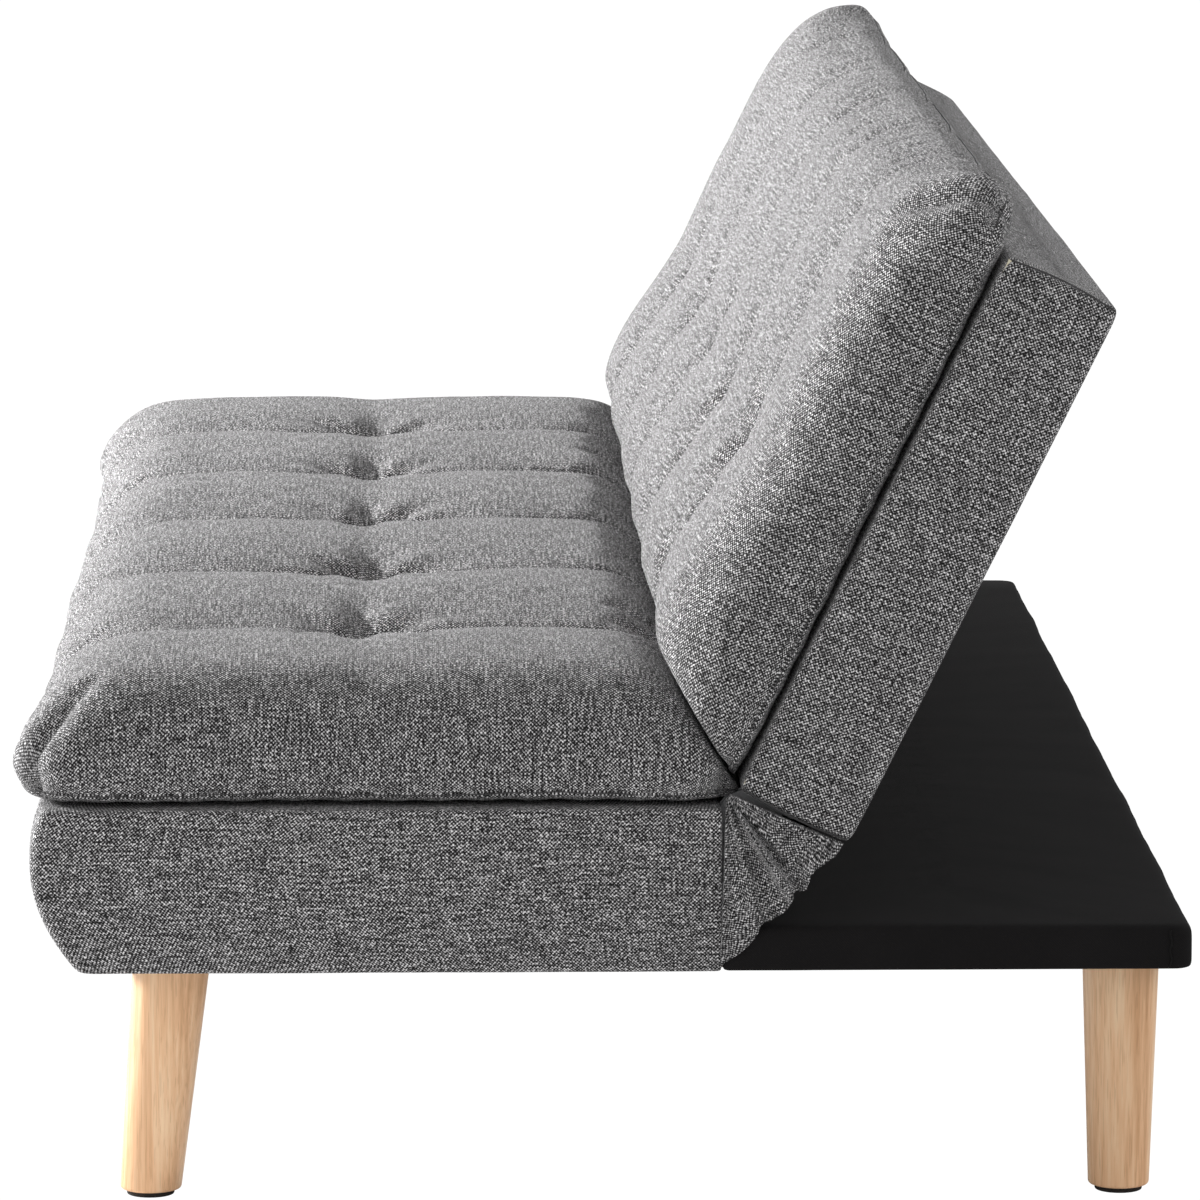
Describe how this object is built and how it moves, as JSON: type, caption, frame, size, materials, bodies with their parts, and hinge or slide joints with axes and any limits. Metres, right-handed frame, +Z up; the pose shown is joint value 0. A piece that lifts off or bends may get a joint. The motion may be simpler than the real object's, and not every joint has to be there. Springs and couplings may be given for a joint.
{
  "type": "futon",
  "caption": "Click-clack futon sofa with tufted grey seat and back cushions, a low black rear deck and tapered wooden legs; the back reclines flat into a bed.",
  "frame": {"origin": "on the floor, at the centre of the sofa's footprint with the back upright", "axes": "+X along the sofa to its right as seen from the front, +Y to the rear, +Z up"},
  "size_m": [1.68, 0.84, 0.7394],
  "materials": {
    "grey_fabric": "matte",
    "black_fabric": "matte",
    "black_nonwoven": "matte",
    "foam": "matte",
    "wadding": "matte",
    "webbing": "matte",
    "beech": "satin",
    "pine": "matte",
    "hardboard": "matte",
    "glide": "matte",
    "black_steel": "satin",
    "zinc_steel": "satin",
    "hinge_steel": "satin",
    "spring_steel": "satin"
  },
  "bodies": {
    "base": {"base_runner_left": "pine", "base_runner_right": "pine", "base_front_crossrail": "pine", "base_middle_crossrail": "pine", "base_rear_crossrail": "pine", "frame_dowels": "beech", "frame_screws": "zinc_steel", "deck_panel": "hardboard", "deck_cover": "black_fabric", "seat_front_board": "pine", "seat_side_board_left": "pine", "seat_side_board_right": "pine", "seat_rear_board": "pine", "seat_centre_board": "pine", "seat_springs": "spring_steel", "spring_clips": "spring_steel", "seat_spring_felt": "wadding", "seat_foam": "foam", "seat_front_foam": "foam", "seat_side_padding": "wadding", "seat_base_cover": "grey_fabric", "base_dust_cover": "black_nonwoven", "seat_cushion_cover": "grey_fabric", "seat_cushion_core": "foam", "leg_front_left": "beech", "leg_front_right": "beech", "leg_rear_left": "beech", "leg_rear_right": "beech", "leg_plates": "black_steel", "leg_plate_screws": "zinc_steel", "leg_bolts": "zinc_steel", "leg_tee_nuts": "zinc_steel", "leg_glides": "glide", "hinge_plate_left": "hinge_steel", "hinge_plate_right": "hinge_steel", "hinge_plate_screws": "zinc_steel", "hinge_pins": "zinc_steel", "pawl_pins": "zinc_steel", "pawl_spring_left": "spring_steel", "pawl_spring_right": "spring_steel", "gusset_left": "grey_fabric", "gusset_right": "grey_fabric", "crease_cloth": "black_fabric"},
    "backrest": {"back_stile_left": "pine", "back_stile_right": "pine", "back_top_rail": "pine", "back_bottom_rail": "pine", "back_mid_stiles": "pine", "back_webbing": "webbing", "back_foam": "foam", "back_edge_padding": "wadding", "back_cover": "grey_fabric", "back_dust_panel": "black_nonwoven", "back_cushion_cover": "grey_fabric", "back_cushion_core": "foam", "hinge_arm_left": "hinge_steel", "hinge_arm_right": "hinge_steel", "arm_bolts": "zinc_steel"},
    "pawl_left": {"pawl_left": "hinge_steel"},
    "pawl_right": {"pawl_right": "hinge_steel"}
  },
  "joints": [
    {"name": "back_recline", "type": "hinge", "parent": "base", "child": "backrest", "pos_m": [0, 0.1058, 0.274], "axis": [-1, 0, 0], "range_deg": [-6, 63.6], "deforming": ["gusset_left", "gusset_right", "crease_cloth"]},
    {"name": "pawl_left_swing", "type": "hinge", "parent": "base", "child": "pawl_left", "pos_m": [-0.7937, 0.1071, 0.2312], "axis": [1, 0, 0], "range_deg": [0, 15], "stiffness_Nm_per_rad": 0.5, "springref_deg": -11.46, "deforming": ["pawl_spring_left"]},
    {"name": "pawl_right_swing", "type": "hinge", "parent": "base", "child": "pawl_right", "pos_m": [0.7937, 0.1071, 0.2312], "axis": [1, 0, 0], "range_deg": [0, 15], "stiffness_Nm_per_rad": 0.5, "springref_deg": -11.46, "deforming": ["pawl_spring_right"]}
  ]
}
